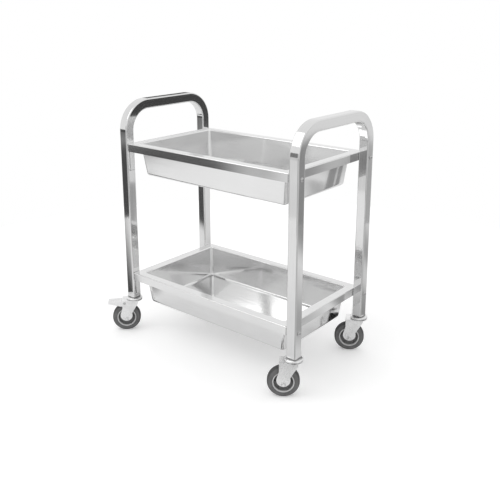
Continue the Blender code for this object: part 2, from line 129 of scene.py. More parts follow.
SEAT = 0.3 * MM                 # between two pieces that meet
HEAD_SEAT = FORK_HALF + SEAT    # where bolt and rivet heads sit, out from the fork's middle
STEM_HOLE = 6.3 * MM
CUP_RADIUS = 26.5 * MM
CUP_WALL = 2.5 * MM
CUP_SHOULDER = 3 * MM
CUP_LIP = 0.8 * MM
CUP_TOP = LEG_FOOT - 3.3 * MM
CUP_CEILING = LEG_FOOT - 6.3 * MM
CUP_RIM = FORK_TOP + 1 * MM
BALLS = 22
BALL = 1.9 * MM
BALL_TRACK = 21.5 * MM

PEDAL_PIN = Vector((33 * MM, 0, 101.5 * MM))
PEDAL_TIP = 88 * MM
PEDAL_WIDTH = 36.6 * MM
PEDAL_SHEET = 2 * MM
PEDAL_NOSE = 4.6 * MM
PEDAL_TOP = 4.2 * MM
PEDAL_SLOPE = 18 * MM
PEDAL_FALL = 1 * MM
PEDAL_TIP_DEPTH = 6 * MM
PEDAL_CHEEK_BACK = 14 * MM
PEDAL_CHEEK_FRONT = 5 * MM
PEDAL_CHEEK_DROP = 12 * MM
GRIP_RIB = 0.8 * MM
RIVET = 2.5 * MM
RIVET_HEAD = 4.5 * MM

CORNERS = ("front_left", "front_right", "rear_right", "rear_left")
BRAKED = ("front_left", "rear_left")


# ---- modelling helpers --------------------------------------------------------------------------

def deselect_all():
    if bpy.context.object is not None and bpy.context.object.mode != "OBJECT":
        bpy.ops.object.mode_set(mode="OBJECT")
    bpy.ops.object.select_all(action="DESELECT")


def make_active(piece):
    deselect_all()
    piece.select_set(True)
    bpy.context.view_layer.objects.active = piece


def edit(piece, kind="VERT"):
    """Into edit mode on one piece, with nothing selected."""
    make_active(piece)
    bpy.ops.object.mode_set(mode="EDIT")
    bpy.ops.mesh.select_mode(type=kind)
    bpy.ops.mesh.select_all(action="DESELECT")


def object_mode():
    bpy.ops.object.mode_set(mode="OBJECT")


def close_to(value, target, slack=0.05 * MM):
    return abs(value - target) < slack


def arc(centre, radius, start, end, steps):
    """Points of a flat arc, angles in degrees."""
    angles = [math.radians(start + (end - start) * step / steps) for step in range(steps + 1)]
    return [(centre[0] + radius * math.cos(a), centre[1] + radius * math.sin(a)) for a in angles]


def drawn_outline(name, points, fill=True):
    """An outline drawn point by point with vertex extrusions, and filled as one face."""
    deselect_all()
    bpy.ops.mesh.primitive_plane_add(size=1 * MM, location=points[0])
    piece = bpy.context.object
    piece.name = piece.data.name = name
    bpy.ops.object.transform_apply(location=True, rotation=True, scale=True)
    bpy.ops.object.mode_set(mode="EDIT")
    bpy.ops.mesh.select_mode(type="VERT")
    bpy.ops.mesh.select_all(action="SELECT")
    bpy.ops.mesh.merge(type="CENTER")
    for here, there in zip(points, points[1:]):
        step = Vector(there) - Vector(here)
        bpy.ops.mesh.extrude_vertices_move(TRANSFORM_OT_translate={"value": step})
    bpy.ops.mesh.select_all(action="SELECT")
    if fill:
        bpy.ops.mesh.edge_face_add()
    return piece


def extrude_all(vector):
    """Extrude what is selected, in edit mode."""
    bpy.ops.mesh.extrude_region_move(TRANSFORM_OT_translate={"value": vector})


def extruded_outline(name, points, vector):
    """A plate: a drawn outline given its thickness."""
    piece = drawn_outline(name, points)
    extrude_all(vector)
    bpy.ops.mesh.select_all(action="SELECT")
    bpy.ops.mesh.normals_make_consistent(inside=False)
    object_mode()
    return piece


def turned(name, profile, steps=48):
    """A piece turned about Z from a closed profile of (radius, height) points."""
    closed = [(r, 0, h) for r, h in profile]
    piece = drawn_outline(name, closed, fill=False)
    if profile[0][0] > 0:
        object_mode()
        last = len(piece.data.vertices) - 1
        bpy.ops.object.mode_set(mode="EDIT")
        bpy.ops.mesh.select_all(action="DESELECT")
        object_mode()
        piece.data.vertices[0].select = True
        piece.data.vertices[last].select = True
        bpy.ops.object.mode_set(mode="EDIT")
        bpy.ops.mesh.edge_face_add()
    bpy.ops.mesh.select_all(action="SELECT")
    bpy.ops.mesh.spin(steps=steps, angle=math.tau, center=(0, 0, 0), axis=(0, 0, 1))
    bpy.ops.mesh.select_all(action="SELECT")
    bpy.ops.mesh.remove_doubles(threshold=0.01 * MM)
    bpy.ops.mesh.normals_make_consistent(inside=False)
    object_mode()
    return piece


def add_modifier(piece, kind, **settings):
    """Add a modifier and apply it at once."""
    make_active(piece)
    modifier = piece.modifiers.new(kind.lower(), kind)
    for key, value in settings.items():
        setattr(modifier, key, value)
    bpy.ops.object.modifier_apply(modifier=modifier.name)


def boolean(piece, tool, operation):
    """Join or cut the piece with a tool object, which is then removed."""
    add_modifier(piece, "BOOLEAN", object=tool, operation=operation, solver="EXACT")
    bpy.data.objects.remove(tool, do_unlink=True)


def soften(piece, width, segments=2, angle=32):
    """Round every sharp edge a little, and keep the flats' shading flat."""
    shade(piece, angle)
    add_modifier(piece, "BEVEL", width=width, segments=segments, limit_method="ANGLE",
                 angle_limit=math.radians(angle), harden_normals=True)


def shade(piece, angle=32):
    make_active(piece)
    bpy.ops.object.shade_smooth_by_angle(angle=math.radians(angle))


def shade_flats(piece):
    """Smooth bends between flats whose shading stays flat."""
    shade(piece, 40)
    add_modifier(piece, "WEIGHTED_NORMAL", weight=100, keep_sharp=True)


def move_mesh(piece, matrix):
    piece.data.transform(matrix)
    piece.data.update()


def join(pieces, name):
    """Several pieces made one object."""
    deselect_all()
    for piece in pieces:
        piece.select_set(True)
    bpy.context.view_layer.objects.active = pieces[0]
    bpy.ops.object.join()
    pieces[0].name = pieces[0].data.name = name
    return pieces[0]


def copied(piece, name, matrix):
    """A copy with its own mesh, put in place through the mesh."""
    copy = piece.copy()
    copy.data = piece.data.copy()
    copy.name = copy.data.name = name
    bpy.context.scene.collection.objects.link(copy)
    move_mesh(copy, matrix)
    return copy


# ---- material helpers ---------------------------------------------------------------------------

def grey_ramp(nodes, links, source, stops):
    """Greys at places along a value from 0 to 1, the stops in rising order."""
    node = nodes.new("ShaderNodeValToRGB")
    elements = node.color_ramp.elements
    elements[0].position = stops[0][0]
    elements[1].position = stops[-1][0]
    for position, value in stops[1:-1]:
        elements.new(position)
    for element, (position, value) in zip(elements, stops):
        element.color = (value, value, value, 1)
    links.new(source, node.inputs["Fac"])
    return node.outputs["Color"]


class Finish:
    """A Principled material with short ways to add its pattern nodes."""

    def __init__(self, name, colour, roughness, metallic):
        self.material = bpy.data.materials.new(name)
        self.material.use_nodes = True
        self.nodes = self.material.node_tree.nodes
        self.links = self.material.node_tree.links
        self.shader = self.nodes["Principled BSDF"]
        self.shader.inputs["Base Color"].default_value = (*colour, 1)
        self.shader.inputs["Roughness"].default_value = roughness
        self.shader.inputs["Metallic"].default_value = metallic
        self.place = self.nodes.new("ShaderNodeTexCoord").outputs["Object"]
        self.last_bump = None

    def link(self, source, target):
        self.links.new(source, target)

    def mapped(self, scale, source=None):
        """The pattern's place, stretched."""
        mapping = self.nodes.new("ShaderNodeMapping")
        mapping.inputs["Scale"].default_value = scale
        self.link(source or self.place, mapping.inputs["Vector"])
        return mapping.outputs["Vector"]

    def noise(self, scale, detail=3, stretch=(1, 1, 1), source=None):
        texture = self.nodes.new("ShaderNodeTexNoise")
        texture.inputs["Scale"].default_value = scale
        texture.inputs["Detail"].default_value = detail
        self.link(self.mapped(stretch, source), texture.inputs["Vector"])
        return texture.outputs["Fac"]

    def ramp(self, factor, stops):
        """Greys at places along the factor."""
        return grey_ramp(self.nodes, self.links, factor, stops)

    def spread(self, factor, low, high):
        """The factor's middle range mapped on to values from low to high."""
        span = self.nodes.new("ShaderNodeMapRange")
        span.inputs["From Min"].default_value = 0.3
        span.inputs["From Max"].default_value = 0.7
        span.inputs["To Min"].default_value = low
        span.inputs["To Max"].default_value = high
        self.link(factor, span.inputs["Value"])
        return span.outputs["Result"]

    def mixed(self, factor, first, second):
        mix = self.nodes.new("ShaderNodeMix")
        mix.data_type = "RGBA"
        self.link(factor, mix.inputs["Factor"])
        self.link(first, mix.inputs["A"])
        self.link(second, mix.inputs["B"])
        return mix.outputs["Result"]

    def colour_from(self, output):
        self.link(output, self.shader.inputs["Base Color"])

    def roughness_from(self, output):
        self.link(output, self.shader.inputs["Roughness"])

    def bump_from(self, height, strength, distance):
        """Bumps added one over another."""
        bump = self.nodes.new("ShaderNodeBump")
        bump.inputs["Strength"].default_value = strength
        bump.inputs["Distance"].default_value = distance
        self.link(height, bump.inputs["Height"])
        if self.last_bump is not None:
            self.link(self.last_bump, bump.inputs["Normal"])
        self.last_bump = bump.outputs["Normal"]
        self.link(self.last_bump, self.shader.inputs["Normal"])

    def raised_edges(self, low=0.52, high=0.60):
        """1 along the raised edges, through the surface's pointiness."""
        geometry = self.nodes.new("ShaderNodeNewGeometry")
        return self.ramp(geometry.outputs["Pointiness"], [(low, 0.0), (high, 1.0)])


def tube_finish():
    """Polished square tube, its fine lines running along its length."""
    finish = Finish("polished_tube", (0.74, 0.74, 0.74), 0.14, 1.0)
    along = finish.nodes.new("ShaderNodeAttribute")
    along.attribute_name = "grain"
    place = along.outputs["Vector"]
    lines = finish.noise(900, 2, (1, 1, 0.02), place)
    cloud = finish.noise(9, 3, (1, 1, 0.6), place)
    shade_of_lines = finish.ramp(lines, [(0.30, 0.72), (0.70, 0.80)])
    shade_of_cloud = finish.ramp(cloud, [(0.30, 0.70), (0.70, 0.84)])
    finish.colour_from(finish.mixed(cloud, shade_of_lines, shade_of_cloud))
    finish.roughness_from(finish.spread(lines, 0.05, 0.09))
    finish.bump_from(cloud, 0.06, 1.0 * MM)
    finish.bump_from(lines, 0.03, 0.05 * MM)
    return finish.material


def sheet_finish():
    """Satin pressed sheet, brushed along the cart, with the slight unevenness of a pressing."""
    finish = Finish("satin_sheet", (0.82, 0.82, 0.82), 0.15, 1.0)
    lines = finish.noise(700, 2, (0.012, 1, 1))
    cloud = finish.noise(5, 3)
    wave = finish.noise(3.2, 1)
    shade_of_lines = finish.ramp(lines, [(0.30, 0.78), (0.70, 0.86)])
    shade_of_cloud = finish.ramp(cloud, [(0.32, 0.78), (0.68, 0.86)])
    finish.colour_from(finish.mixed(cloud, shade_of_lines, shade_of_cloud))
    finish.roughness_from(finish.spread(lines, 0.07, 0.13))
    finish.bump_from(wave, 0.12, 6.0 * MM)
    finish.bump_from(lines, 0.03, 0.05 * MM)
    return finish.material


def zinc_finish():
    """Bright zinc plate on pressed steel: faint spangle, its colour lighter along the raised edges than on
    the flats and in the hollows.
    """
    finish = Finish("bright_zinc", (0.88, 0.88, 0.89), 0.30, 1.0)
    spangle = finish.noise(260, 4)
    cloud = finish.noise(34, 3)
    # the colour is lighter along the raised edges, through the surface's pointiness
    finish.colour_from(finish.mixed(finish.raised_edges(), finish.ramp(cloud, [(0.30, 0.80), (0.70, 0.92)]),
                                    finish.ramp(spangle, [(0.30, 0.90), (0.70, 0.97)])))
    finish.roughness_from(finish.spread(spangle, 0.22, 0.40))
    finish.bump_from(spangle, 0.10, 0.10 * MM)
    return finish.material


def fastener_finish():
    finish = Finish("plain_fastener", (0.55, 0.55, 0.56), 0.32, 1.0)
    grain = finish.noise(420, 3)
    finish.colour_from(finish.ramp(grain, [(0.30, 0.46), (0.70, 0.62)]))
    finish.roughness_from(finish.spread(grain, 0.24, 0.42))
    finish.bump_from(grain, 0.12, 0.08 * MM)
    return finish.material


def race_finish():
    """Oiled steel of the swivel's races and balls."""
    finish = Finish("oiled_steel", (0.30, 0.30, 0.31), 0.35, 1.0)
    film = finish.noise(150, 4)
    finish.colour_from(finish.ramp(film, [(0.30, 0.20), (0.70, 0.40)]))
    finish.roughness_from(finish.spread(film, 0.25, 0.50))
    finish.bump_from(film, 0.10, 0.08 * MM)
    return finish.material


def tyre_finish():
    """Grey rubber, with dust on the sidewalls and a darker, scuffed tread."""
    finish = Finish("grey_tyre", (0.10, 0.10, 0.10), 0.72, 0.0)
    dust = finish.noise(60, 5)
    grit = finish.noise(900, 4)
    around = finish.nodes.new("ShaderNodeAttribute")
    around.attribute_name = "tread"
    sidewall = finish.ramp(dust, [(0.30, 0.115), (0.70, 0.165)])
    tread = finish.ramp(dust, [(0.30, 0.040), (0.70, 0.080)])
    finish.colour_from(finish.mixed(around.outputs["Fac"], sidewall, tread))
    finish.roughness_from(finish.spread(dust, 0.60, 0.82))
    finish.bump_from(grit, 0.25, 0.15 * MM)
    return finish.material


def wheel_finish():
    """Grey moulded wheel centre, its outer ring painted lighter: a painted highlight on the rim's lip."""
    finish = Finish("moulded_centre", (0.42, 0.42, 0.42), 0.48, 0.0)
    mould = finish.noise(120, 4)
    painted_highlight_mask = finish.nodes.new("ShaderNodeAttribute")
    painted_highlight_mask.attribute_name = "ring"
    web = finish.ramp(mould, [(0.30, 0.12), (0.70, 0.18)])
    # light: the painted highlight on the outer ring, the rim's lip
    light = finish.ramp(mould, [(0.30, 0.58), (0.70, 0.70)])
    finish.colour_from(finish.mixed(painted_highlight_mask.outputs["Fac"], web, light))
    finish.roughness_from(finish.spread(mould, 0.38, 0.58))
    finish.bump_from(mould, 0.15, 0.10 * MM)
    return finish.material


TUBE_FINISH = tube_finish()
SHEET_FINISH = sheet_finish()
ZINC = zinc_finish()
FASTENER = fastener_finish()
RACE = race_finish()
RUBBER = tyre_finish()
WHEEL_CENTRE = wheel_finish()


def dress(piece, material, slot, body, *nodes):
    """Give a finished piece its material and its body, and hide the nodes it stands for. The slot is not
    used.
    """
    piece.data.materials.clear()
    piece.data.materials.append(material)
    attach(piece, body)
    if nodes:
        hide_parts(*nodes)


# ---- end frames ---------------------------------------------------------------------------------

def mark_grain(piece, middle_x):
    """Each point's place in the tube: across, out from the centre line, and along the length."""
    grain = piece.data.attributes.new("grain", "FLOAT_VECTOR", "POINT")
    for vertex in piece.data.vertices:
        x, y, z = vertex.co
        side = abs(y - CART_Y)
        if z < BEND_Z:
            out, along = side - LEG_SPREAD, z
        elif side > BEND_Y:
            turn = math.atan2(z - BEND_Z, side - BEND_Y)
            out = math.hypot(z - BEND_Z, side - BEND_Y) - BEND_RADIUS
            along = BEND_Z + BEND_RADIUS * turn
        else:
            out = z - BEND_Z - BEND_RADIUS
            along = BEND_Z + BEND_RADIUS * math.pi / 2 + BEND_Y - side
        grain.data[vertex.index].vector = (x - middle_x, out, along)


def bent_frame(name, middle_x):
    """One square tube drawn up a leg, spun round a bend, across and down again."""
    deselect_all()
    bpy.ops.mesh.primitive_plane_add(size=TUBE, location=(middle_x, CART_Y - LEG_SPREAD, LEG_FOOT))
    piece = bpy.context.object
    piece.name = piece.data.name = name
    bpy.ops.object.transform_apply(location=True, rotation=True, scale=True)
    bpy.ops.object.mode_set(mode="EDIT")
    bpy.ops.mesh.select_mode(type="VERT")
    bpy.ops.mesh.select_all(action="SELECT")
    bpy.ops.mesh.bevel(affect="VERTICES", offset=TUBE_CORNER, offset_type="OFFSET",
                       segments=TUBE_CORNER_STEPS)
    bpy.ops.mesh.select_mode(type="FACE")
    bpy.ops.mesh.select_all(action="SELECT")
    extrude_all((0, 0, BEND_Z - LEG_FOOT))
    near_bend = (middle_x, CART_Y - BEND_Y, BEND_Z)
    bpy.ops.mesh.spin(steps=BEND_STEPS, angle=math.pi / 2, center=near_bend, axis=(1, 0, 0))
    extrude_all((0, 2 * BEND_Y, 0))
    far_bend = (middle_x, CART_Y + BEND_Y, BEND_Z)
    bpy.ops.mesh.spin(steps=BEND_STEPS, angle=math.pi / 2, center=far_bend, axis=(1, 0, 0))
    extrude_all((0, 0, LEG_FOOT - BEND_Z))
    bpy.ops.mesh.select_all(action="SELECT")
    bpy.ops.mesh.remove_doubles(threshold=0.01 * MM)
    bpy.ops.mesh.normals_make_consistent(inside=False)
    object_mode()
    mark_grain(piece, middle_x)
    shade_flats(piece)
    return piece


for side, low, high in (("left", LEFT_LOW, LEFT_HIGH), ("right", RIGHT_LOW, RIGHT_HIGH)):
    tube = bent_frame(f"{side}_frame_tube", (low.x + high.x) / 2)
    dress(tube, TUBE_FINISH, "stainless_tube", "chassis", f"end_frame_{side}")


# ---- trays --------------------------------------------------------------------------------------

def add_rounded_outline(half_x, half_y, z, corner, keep_face):
    """In edit mode: one more flat outline with rounded corners."""
    bpy.ops.mesh.select_all(action="DESELECT")
    bpy.ops.mesh.primitive_plane_add(size=2, location=(CART_X, CART_Y, z))
    bpy.ops.transform.resize(value=(half_x, half_y, 1), center_override=(CART_X, CART_Y, z))
    bpy.ops.mesh.bevel(affect="VERTICES", offset=corner, offset_type="OFFSET", segments=OUTLINE_STEPS)
    if not keep_face:
        bpy.ops.mesh.delete(type="ONLY_FACE")


def bridge_outlines(piece, number):
    """Join one outline to the next, counted in the order they were added."""
    size = 4 * (OUTLINE_STEPS + 1)
    first, last = number * size, (number + 2) * size
    object_mode()
    for polygon in piece.data.polygons:
        polygon.select = False
    for vertex in piece.data.vertices:
        vertex.select = False
    for edge in piece.data.edges:
        a, b = sorted(edge.vertices)
        edge.select = first <= a and b < last and (b < first + size or a >= first + size)
    bpy.ops.object.mode_set(mode="EDIT")
    bpy.ops.mesh.bridge_edge_loops()


def tray_stations():
    """Inset from the tray's edge, height from the rim and corner radius, from the floor outwards."""
    inset = RIM_WIDTH + WALL_TAPER
    stations = []
    for a, b in arc((inset + FLOOR_BEND, FLOOR_BEND - TRAY_DEPTH), FLOOR_BEND, 270, 180, 7):
        stations.append((a, b, FLOOR_CORNER - (a - inset)))
    for a, b in arc((RIM_WIDTH - MOUTH_BEND, -MOUTH_BEND), MOUTH_BEND, 0, 90, 6):
        stations.append((a, b, MOUTH_CORNER))
    for a, b in arc((RIM_BEND, -RIM_BEND - RIM_FALL), RIM_BEND, 90, 180, 5):
        stations.append((a, b, RIM_CORNER))
    return stations + [(0, -FLANGE_HEIGHT, RIM_CORNER)]


def pressed_tray(name, rim):
    """Outlines from the floor up the wall and over the rim, bridged and thickened."""
    half_x = (TRAY_HIGH.x - TRAY_LOW.x) / 2
    half_y = (TRAY_HIGH.y - TRAY_LOW.y) / 2
    deselect_all()
    bpy.ops.mesh.primitive_plane_add(size=1 * MM, location=(CART_X, CART_Y, rim))
    piece = bpy.context.object
    piece.name = piece.data.name = name
    bpy.ops.object.transform_apply(location=True, rotation=True, scale=True)
    bpy.ops.object.mode_set(mode="EDIT")
    bpy.ops.mesh.select_mode(type="VERT")
    bpy.ops.mesh.select_all(action="SELECT")
    bpy.ops.mesh.delete(type="VERT")
    stations = tray_stations()
    for number, (inset, drop, corner) in enumerate(stations):
        add_rounded_outline(half_x - inset, half_y - inset, rim + drop, corner, keep_face=number == 0)
    bpy.ops.mesh.select_mode(type="EDGE")
    for number in range(len(stations) - 1):
        bridge_outlines(piece, number)
    bpy.ops.mesh.select_all(action="SELECT")
    bpy.ops.mesh.normals_make_consistent(inside=False)
    object_mode()
    turn_up(piece, rim - TRAY_DEPTH)
    add_modifier(piece, "SOLIDIFY", thickness=SHEET, offset=-1, use_even_offset=True)
    shade_flats(piece)
    return piece


def turn_up(piece, floor):
    """See that the basin's floor faces up, so that the sheet thickens downwards."""
    widest = max(piece.data.polygons, key=lambda polygon: polygon.area)
    if close_to(widest.center.z, floor) and widest.normal.z < 0:
        edit(piece)
        bpy.ops.mesh.select_all(action="SELECT")
        bpy.ops.mesh.flip_normals()
        object_mode()


for level in ("upper", "lower"):
    tray = pressed_tray(f"{level}_tray_shell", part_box(f"{level}_tray")[1].z)
    dress(tray, SHEET_FINISH, "stainless_sheet", "chassis", f"{level}_tray")


# ---- tray bolts ---------------------------------------------------------------------------------

def tray_bolt_model():
    """A flanged dome-head bolt about Z with a hexagon socket, its seat at the origin."""
    low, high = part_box("bolt_upper_front_right")
    end = BOLT_HEAD_HEIGHT - (high.x - low.x)
    chamfer = 0.5 * MM
    profile = [(0, end), (BOLT_SHANK - chamfer, end), (BOLT_SHANK, end + chamfer), (BOLT_SHANK, 0)]
    profile += [(BOLT_HEAD, 0), (BOLT_HEAD, 0.9 * MM), (BOLT_HEAD - 1.1 * MM, 1.3 * MM)]
    profile += [(BOLT_HEAD - 1.6 * MM, 2.6 * MM), (BOLT_HEAD - 3.0 * MM, 3.7 * MM)]
    profile += [(BOLT_HEAD - 3.8 * MM, BOLT_HEAD_HEIGHT), (0, BOLT_HEAD_HEIGHT)]
    bolt = turned("tray_bolt_model", profile, 40)
    bpy.ops.mesh.primitive_cylinder_add(vertices=6, radius=BOLT_SOCKET, depth=BOLT_HEAD_HEIGHT,
                                        location=(0, 0, BOLT_HEAD_HEIGHT - 0.4 * MM))
    boolean(bolt, bpy.context.object, "DIFFERENCE")
    shade(bolt, 30)
    return bolt


def place_tray_bolts():
    model = tray_bolt_model()
    for level in ("upper", "lower"):
        for corner in CORNERS:
            low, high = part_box(f"bolt_{level}_{corner}")
            outward = 1 if corner.endswith("right") else -1
            seat = high.x - BOLT_HEAD_HEIGHT if outward > 0 else low.x + BOLT_HEAD_HEIGHT
            place = Vector((seat, (low.y + high.y) / 2, (low.z + high.z) / 2))
            turn = Matrix.Rotation(outward * math.pi / 2, 4, "Y")
            bolt = copied(model, f"{level}_bolt_{corner}", Matrix.Translation(place) @ turn)
            dress(bolt, FASTENER, "fasteners", "chassis", f"bolt_{level}_{corner}")
    bpy.data.objects.remove(model, do_unlink=True)


place_tray_bolts()


# ---- caster models, about their own swivel axis, the wheel trailing along +X --------------------

def side_plate(name, y, thickness):
    """A fork's side plate, its top inside the crown: straight rear, rounded foot, slanting front."""
    top = FORK_TOP - FORK_PLATE / 2
    outline = [(-FORK_FRONT, top), (-FORK_FRONT, FORK_TOP - FORK_SKIRT)]
    outline += arc((CASTER_TRAIL, FORK_FOOT_HEIGHT), FORK_FOOT, 160, 380, 26)
    outline += [(FORK_REAR, FORK_TOP - FORK_STRAIGHT), (FORK_REAR, top)]
    return extruded_outline(name, [(x, y, z) for x, z in outline], (0, thickness, 0))


def crown_plate():
    """The fork's top, a little proud of the side plates all round."""
    proud = 0.2 * MM
    half = FORK_HALF + proud
    back = FORK_REAR + proud
    meeting = math.degrees(math.asin(half / CROWN_RADIUS))
    outline = [(x, y, FORK_TOP) for x, y in arc((0, 0), CROWN_RADIUS, meeting, 360 - meeting, 40)]
    outline += [(back, -half, FORK_TOP), (back, half, FORK_TOP)]
    return extruded_outline("crown", outline, (0, 0, -FORK_PLATE))


def fork_model():
    """Crown and side plates of one pressing, a crease down each plate and a ring round its foot."""
    fork = crown_plate()
    fork.name = fork.data.name = "fork_model"
    for side in (-1, 1):
        y = side * FORK_HALF
        boolean(fork, side_plate("plate", y, -side * FORK_PLATE), "UNION")
        bpy.ops.mesh.primitive_cube_add(size=1, location=(CREASE_BACK, y, CREASE_HEIGHT))
        crease = bpy.context.object
        crease.scale = CREASE_SIZE
        boolean(fork, crease, "DIFFERENCE")
        bpy.ops.mesh.primitive_torus_add(major_segments=40, minor_segments=8, major_radius=FOOT_RING,
                                         minor_radius=FOOT_RING_DEPTH, rotation=(math.pi / 2, 0, 0),
                                         location=(CASTER_TRAIL, y, FOOT_RING_HEIGHT))
        boolean(fork, bpy.context.object, "DIFFERENCE")
    soften(fork, 0.6 * MM)
    return fork


def mirrored(side):
    """A profile's upper half and the same below, from top to bottom."""
    return side + [(radius, -height) for radius, height in reversed(side)]


def tyre_model():
    """A round-shouldered tyre with a bead ring on each side."""
    half = TYRE_WIDTH / 2
    side = [(TYRE_BORE, half - 3 * MM), (TYRE_BORE, half - 0.6 * MM), (TYRE_BORE + 0.6 * MM, half)]
    side += [(TYRE_BORE + BEAD - 0.8 * MM, half), (TYRE_BORE + BEAD, half - 0.9 * MM)]
    side += arc((WHEEL_RADIUS - TYRE_SHOULDER, half - 9.2 * MM), TYRE_SHOULDER, 80, 10, 6)
    side += [(WHEEL_RADIUS, TREAD_HALF)]
    tyre = turned("tyre_model", mirrored(side), 72)
    tread = tyre.data.attributes.new("tread", "FLOAT", "POINT")
    for vertex in tyre.data.vertices:
        radius = math.hypot(vertex.co.x, vertex.co.y)
        tread.data[vertex.index].value = min(1, max(0, (radius - WHEEL_RADIUS + 5 * MM) / (4 * MM)))
    shade(tyre, 40)
    return tyre


def centre_profile(rim, ring):
    """Half the wheel centre's section: boss, web and rim."""
    rim_half = TYRE_WIDTH / 2 - 0.4 * MM
    boss_half = FORK_INSIDE / 2 - 0.6 * MM
    side = [(AXLE_HOLE, boss_half), (HUB_BOSS - 0.8 * MM, boss_half), (HUB_BOSS, boss_half - 0.8 * MM)]
    side += [(HUB_BOSS + 1 * MM, HUB_WEB_HALF), (ring - 2.4 * MM, HUB_WEB_HALF)]
    side += [(ring - 1 * MM, HUB_WEB_HALF + 1 * MM), (ring, rim_half - 0.8 * MM)]
    return side + [(ring + 0.7 * MM, rim_half), (rim - 0.8 * MM, rim_half), (rim, rim_half - 0.8 * MM)]


def centre_model():
    """The wheel centre: an outer ring that takes a painted highlight, a recessed dark web with ribs, and the
    long boss.
    """
    rim = TYRE_BORE - SEAT
    ring = rim - HUB_RING
    centre = turned("centre_model", mirrored(centre_profile(rim, ring)), 72)
    for turn in range(3):
        bpy.ops.mesh.primitive_cube_add(size=1, rotation=(0, 0, turn * math.pi / 3))
        rib = bpy.context.object
        rib.scale = (2 * ring, RIB_WIDTH, RIB_DEPTH)
        boolean(centre, rib, "UNION")
    bpy.ops.mesh.primitive_cylinder_add(vertices=32, radius=AXLE_HOLE, depth=2 * TYRE_BORE)
    boolean(centre, bpy.context.object, "DIFFERENCE")
    # the outer ring is marked for the painted highlight of the rim's lip
    light = centre.data.attributes.new("ring", "FLOAT", "POINT")
    for vertex in centre.data.vertices:
        painted_highlight_mask = math.hypot(vertex.co.x, vertex.co.y) > ring - 0.3 * MM
        light.data[vertex.index].value = 1.0 if painted_highlight_mask else 0.0
    shade(centre, 30)
    return centre


def cup_model():
    """The swivel's upper race, pressed with a rolled edge."""
    profile = [(STEM_HOLE, CUP_TOP), (CUP_RADIUS - 1.5 * CUP_SHOULDER, CUP_TOP)]
    profile += arc((CUP_RADIUS - CUP_SHOULDER, CUP_TOP - CUP_SHOULDER), CUP_SHOULDER, 80, 0, 4)
    profile += [(CUP_RADIUS, CUP_RIM + CUP_LIP), (CUP_RADIUS - CUP_LIP, CUP_RIM)]
    profile += [(CUP_RADIUS - CUP_WALL, CUP_RIM), (CUP_RADIUS - CUP_WALL, CUP_CEILING)]
    cup = turned("cup_model", profile + [(STEM_HOLE, CUP_CEILING)], 64)
    shade(cup, 35)
    return cup


def ball_race_model():
    """The lower race with the ring of balls that runs in it."""
    low = FORK_TOP + SEAT
    profile = [(15 * MM, low), (15 * MM, low + 1.8 * MM), (16.5 * MM, low + 2.4 * MM)]
    profile += [(19.2 * MM, low + 1.6 * MM), (23.6 * MM, low + 0.8 * MM), (24 * MM, low)]
    rings = [turned("ball_race_model", profile, 64)]
    for number in range(BALLS):
        angle = math.tau * number / BALLS
        place = (BALL_TRACK * math.cos(angle), BALL_TRACK * math.sin(angle), low + BALL + 0.2 * MM)
        bpy.ops.mesh.primitive_ico_sphere_add(subdivisions=2, radius=BALL, location=place)
        rings.append(bpy.context.object)
    race = join(rings, "ball_race_model")
    shade(race, 50)
    return race


def axle_model():
    """The axle bolt about Z: a washer face and hexagon head, and a plain end with a chamfer."""
    chamfer = 0.8 * MM
    washer = HEAD_SEAT + 1.0 * MM
    end = -HEAD_SEAT - AXLE_END
    profile = [(0, end), (AXLE - chamfer, end), (AXLE, end + chamfer), (AXLE, HEAD_SEAT)]
    profile += [(AXLE_WASHER, HEAD_SEAT), (AXLE_WASHER, washer), (0, washer)]
    axle = turned("axle_model", profile, 32)
    bpy.ops.mesh.primitive_cylinder_add(vertices=6, radius=AXLE_HEAD, depth=4 * MM,
                                        location=(0, 0, HEAD_SEAT + 2.9 * MM))
    boolean(axle, bpy.context.object, "UNION")
    soften(axle, 0.5 * MM)
    return axle


def axle_nut_model():
    """A hexagon nut about Z with a collar, its seat at the origin and the nut above it."""
    bpy.ops.mesh.primitive_cylinder_add(vertices=6, radius=AXLE_NUT, depth=4.2 * MM,
                                        location=(0, 0, 2.1 * MM))
    nut = bpy.context.object
    nut.name = nut.data.name = "axle_nut_model"
    bpy.ops.object.transform_apply(location=True, rotation=True, scale=True)
    bpy.ops.mesh.primitive_cylinder_add(vertices=32, radius=AXLE_NUT_COLLAR, depth=AXLE_NUT_COLLAR,
                                        location=(0, 0, 3.0 * MM))
    boolean(nut, bpy.context.object, "UNION")
    bpy.ops.mesh.primitive_cylinder_add(vertices=32, radius=AXLE + 0.35 * MM, depth=30 * MM)
    boolean(nut, bpy.context.object, "DIFFERENCE")
    soften(nut, 0.45 * MM)
    return nut


